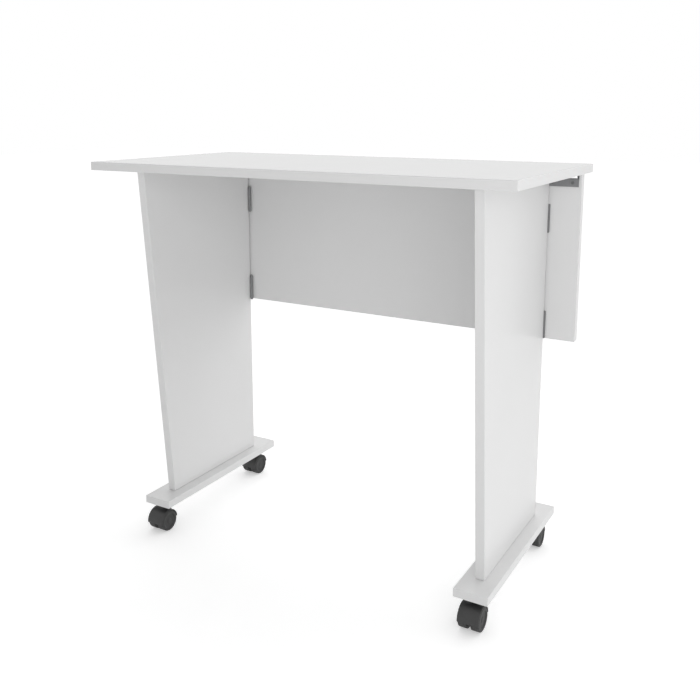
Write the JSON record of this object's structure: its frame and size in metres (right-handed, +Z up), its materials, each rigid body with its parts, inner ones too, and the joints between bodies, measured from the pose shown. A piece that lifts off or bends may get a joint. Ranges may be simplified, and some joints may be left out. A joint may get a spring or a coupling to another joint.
{
  "type": "folding desk",
  "caption": "Small white folding desk on twin wheel casters: board legs hinged to a back panel fold in flat, and the tabletop tips up on steel hinges.",
  "frame": {"origin": "on the floor, under the middle of the desk's box", "axes": "+X to the right of a person sitting at the desk, +Y away from them to the back panel, +Z up"},
  "size_m": [0.8, 0.4088, 0.725],
  "materials": {
    "board": "glossy white melamine facing",
    "hinge_steel": "satin grey",
    "screw_steel": "zinc plated",
    "caster_steel": "zinc plated",
    "caster_nylon": "moulded satin"
  },
  "bodies": {
    "panel": {"back_panel": "board", "left_lower_hinge_panel_leaf": "hinge_steel", "left_lower_hinge_pin": "hinge_steel", "left_top_hinge_rivet_inner": "hinge_steel", "left_top_hinge_rivet_outer": "hinge_steel", "left_top_hinge_yoke": "hinge_steel", "left_upper_hinge_panel_leaf": "hinge_steel", "left_upper_hinge_pin": "hinge_steel", "left_yoke_screw_inner": "screw_steel", "left_yoke_screw_outer": "screw_steel", "right_lower_hinge_panel_leaf": "hinge_steel", "right_lower_hinge_pin": "hinge_steel", "right_top_hinge_rivet_inner": "hinge_steel", "right_top_hinge_rivet_outer": "hinge_steel", "right_top_hinge_yoke": "hinge_steel", "right_upper_hinge_panel_leaf": "hinge_steel", "right_upper_hinge_pin": "hinge_steel", "right_yoke_screw_inner": "screw_steel", "right_yoke_screw_outer": "screw_steel"},
    "tabletop": {"left_leaf_screw_inner": "screw_steel", "left_leaf_screw_outer": "screw_steel", "left_top_hinge_leaf": "hinge_steel", "right_leaf_screw_inner": "screw_steel", "right_leaf_screw_outer": "screw_steel", "right_top_hinge_leaf": "hinge_steel", "tabletop": "board"},
    "left_leg": {"front_left_caster_plate": "caster_steel", "left_foot_board": "board", "left_foot_screw_front": "screw_steel", "left_foot_screw_rear": "screw_steel", "left_leg_board": "board", "left_lower_hinge_leg_leaf": "hinge_steel", "left_upper_hinge_leg_leaf": "hinge_steel", "rear_left_caster_plate": "caster_steel"},
    "right_leg": {"front_right_caster_plate": "caster_steel", "rear_right_caster_plate": "caster_steel", "right_foot_board": "board", "right_foot_screw_front": "screw_steel", "right_foot_screw_rear": "screw_steel", "right_leg_board": "board", "right_lower_hinge_leg_leaf": "hinge_steel", "right_upper_hinge_leg_leaf": "hinge_steel"},
    "front_left_caster": {"front_left_caster_axle": "caster_steel", "front_left_caster_hood": "caster_nylon"},
    "front_left_outer_wheel": {"front_left_caster_outer_wheel": "caster_nylon"},
    "front_left_inner_wheel": {"front_left_caster_inner_wheel": "caster_nylon"},
    "front_right_caster": {"front_right_caster_axle": "caster_steel", "front_right_caster_hood": "caster_nylon"},
    "front_right_outer_wheel": {"front_right_caster_outer_wheel": "caster_nylon"},
    "front_right_inner_wheel": {"front_right_caster_inner_wheel": "caster_nylon"},
    "rear_left_caster": {"rear_left_caster_axle": "caster_steel", "rear_left_caster_hood": "caster_nylon"},
    "rear_left_outer_wheel": {"rear_left_caster_outer_wheel": "caster_nylon"},
    "rear_left_inner_wheel": {"rear_left_caster_inner_wheel": "caster_nylon"},
    "rear_right_caster": {"rear_right_caster_axle": "caster_steel", "rear_right_caster_hood": "caster_nylon"},
    "rear_right_outer_wheel": {"rear_right_caster_outer_wheel": "caster_nylon"},
    "rear_right_inner_wheel": {"rear_right_caster_inner_wheel": "caster_nylon"}
  },
  "joints": [
    {"name": "tabletop_tilt", "type": "hinge", "parent": "panel", "child": "tabletop", "pos_m": [0, 0.172, 0.704], "axis": [-1, 0, 0], "range_deg": [0, 94]},
    {"name": "left_leg_fold", "type": "hinge", "parent": "panel", "child": "left_leg", "pos_m": [-0.3157, 0.156, 0.4], "axis": [0, 0, 1], "range_deg": [0, 90]},
    {"name": "right_leg_fold", "type": "hinge", "parent": "panel", "child": "right_leg", "pos_m": [0.3157, 0.156, 0.4], "axis": [0, 0, -1], "range_deg": [0, 90]},
    {"name": "front_left_caster_swivel", "type": "hinge", "parent": "left_leg", "child": "front_left_caster", "pos_m": [-0.3275, -0.1244, 0.045], "axis": [0, 0, 1], "continuous": true},
    {"name": "front_left_outer_wheel_spin", "type": "hinge", "parent": "front_left_caster", "child": "front_left_outer_wheel", "pos_m": [-0.3275, -0.1369, 0.02], "axis": [1, 0, 0], "continuous": true},
    {"name": "front_left_inner_wheel_spin", "type": "hinge", "parent": "front_left_caster", "child": "front_left_inner_wheel", "pos_m": [-0.3275, -0.1369, 0.02], "axis": [1, 0, 0], "continuous": true},
    {"name": "front_right_caster_swivel", "type": "hinge", "parent": "right_leg", "child": "front_right_caster", "pos_m": [0.3275, -0.1244, 0.045], "axis": [0, 0, 1], "continuous": true},
    {"name": "front_right_outer_wheel_spin", "type": "hinge", "parent": "front_right_caster", "child": "front_right_outer_wheel", "pos_m": [0.3275, -0.1369, 0.02], "axis": [1, 0, 0], "continuous": true},
    {"name": "front_right_inner_wheel_spin", "type": "hinge", "parent": "front_right_caster", "child": "front_right_inner_wheel", "pos_m": [0.3275, -0.1369, 0.02], "axis": [1, 0, 0], "continuous": true},
    {"name": "rear_left_caster_swivel", "type": "hinge", "parent": "left_leg", "child": "rear_left_caster", "pos_m": [-0.3275, 0.1794, 0.045], "axis": [0, 0, 1], "continuous": true},
    {"name": "rear_left_outer_wheel_spin", "type": "hinge", "parent": "rear_left_caster", "child": "rear_left_outer_wheel", "pos_m": [-0.3275, 0.1669, 0.02], "axis": [1, 0, 0], "continuous": true},
    {"name": "rear_left_inner_wheel_spin", "type": "hinge", "parent": "rear_left_caster", "child": "rear_left_inner_wheel", "pos_m": [-0.3275, 0.1669, 0.02], "axis": [1, 0, 0], "continuous": true},
    {"name": "rear_right_caster_swivel", "type": "hinge", "parent": "right_leg", "child": "rear_right_caster", "pos_m": [0.3275, 0.1794, 0.045], "axis": [0, 0, 1], "continuous": true},
    {"name": "rear_right_outer_wheel_spin", "type": "hinge", "parent": "rear_right_caster", "child": "rear_right_outer_wheel", "pos_m": [0.3275, 0.1669, 0.02], "axis": [1, 0, 0], "continuous": true},
    {"name": "rear_right_inner_wheel_spin", "type": "hinge", "parent": "rear_right_caster", "child": "rear_right_inner_wheel", "pos_m": [0.3275, 0.1669, 0.02], "axis": [1, 0, 0], "continuous": true}
  ]
}
